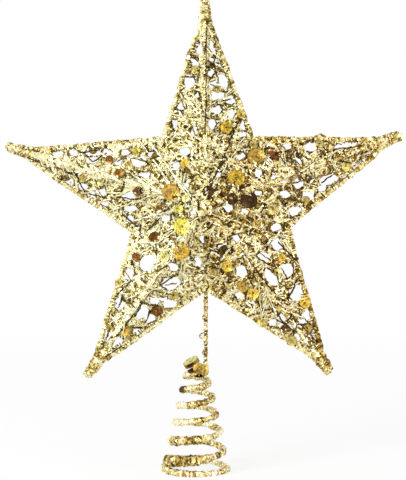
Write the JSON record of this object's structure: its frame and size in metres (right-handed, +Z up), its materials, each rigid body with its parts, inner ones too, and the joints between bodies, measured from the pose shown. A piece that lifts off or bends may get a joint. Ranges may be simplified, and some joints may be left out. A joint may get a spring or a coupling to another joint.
{
  "type": "christmas tree topper star",
  "caption": "Glittered wire star with raised front and rear, wound with open strands and sequins, on a stem and a conical wire spring that slips over the tip of a tree.",
  "frame": {"origin": "middle of the spring's mouth, on the spring's axis at its lowest point", "axes": "+Z up along the spring's axis, +X to the right of the star as seen from its front, star facing -Y"},
  "size_m": [0.2001, 0.053, 0.2388],
  "materials": {
    "frame_wire": "gold glitter coat over iron wire",
    "spring_wire": "gold glitter coat over spring wire",
    "binding_wire": "fine gold wire with glitter",
    "weld": "gold glitter coat over a weld",
    "net_strand": "gold glitter on fine wound strands",
    "sequin": "metallised gold film"
  },
  "bodies": {
    "spring": {"conical_spring": "spring_wire"},
    "spring_head": {"spring_head_sequins": "sequin"},
    "star": {"front_hub_weld": "weld", "left_arm_front_net": "net_strand", "left_arm_front_ridge_wire": "frame_wire", "left_arm_front_sequins": "sequin", "left_arm_outline_wire_1": "frame_wire", "left_arm_outline_wire_2": "frame_wire", "left_arm_rear_net": "net_strand", "left_arm_rear_ridge_wire": "frame_wire", "left_arm_rear_sequins": "sequin", "left_arm_tip_binding": "binding_wire", "lower_left_arm_front_net": "net_strand", "lower_left_arm_front_ridge_wire": "frame_wire", "lower_left_arm_front_sequins": "sequin", "lower_left_arm_outline_wire_1": "frame_wire", "lower_left_arm_outline_wire_2": "frame_wire", "lower_left_arm_rear_net": "net_strand", "lower_left_arm_rear_ridge_wire": "frame_wire", "lower_left_arm_rear_sequins": "sequin", "lower_left_arm_tip_binding": "binding_wire", "lower_right_arm_front_net": "net_strand", "lower_right_arm_front_ridge_wire": "frame_wire", "lower_right_arm_front_sequins": "sequin", "lower_right_arm_outline_wire_1": "frame_wire", "lower_right_arm_outline_wire_2": "frame_wire", "lower_right_arm_rear_net": "net_strand", "lower_right_arm_rear_ridge_wire": "frame_wire", "lower_right_arm_rear_sequins": "sequin", "lower_right_arm_tip_binding": "binding_wire", "rear_hub_weld": "weld", "right_arm_front_net": "net_strand", "right_arm_front_ridge_wire": "frame_wire", "right_arm_front_sequins": "sequin", "right_arm_outline_wire_1": "frame_wire", "right_arm_outline_wire_2": "frame_wire", "right_arm_rear_net": "net_strand", "right_arm_rear_ridge_wire": "frame_wire", "right_arm_rear_sequins": "sequin", "right_arm_tip_binding": "binding_wire", "stem_winding": "binding_wire", "stem_wire": "spring_wire", "top_arm_front_net": "net_strand", "top_arm_front_ridge_wire": "frame_wire", "top_arm_front_sequins": "sequin", "top_arm_outline_wire_1": "frame_wire", "top_arm_outline_wire_2": "frame_wire", "top_arm_rear_net": "net_strand", "top_arm_rear_ridge_wire": "frame_wire", "top_arm_rear_sequins": "sequin", "top_arm_tip_binding": "binding_wire"}
  },
  "joints": [
    {"name": "spring_press", "type": "slide", "parent": "spring", "child": "spring_head", "axis": [0, 0, 1], "range_m": [-0.018, 0.012], "stiffness_N_per_m": 900, "springref_m": 0.0008, "deforming": ["conical_spring"]},
    {"name": "star_lean", "type": "hinge", "parent": "spring_head", "child": "star", "pos_m": [0.0047, 0.00215, 0.05544], "axis": [1, 0, 0], "range_deg": [-12, 12], "stiffness_Nm_per_rad": 0.6}
  ]
}
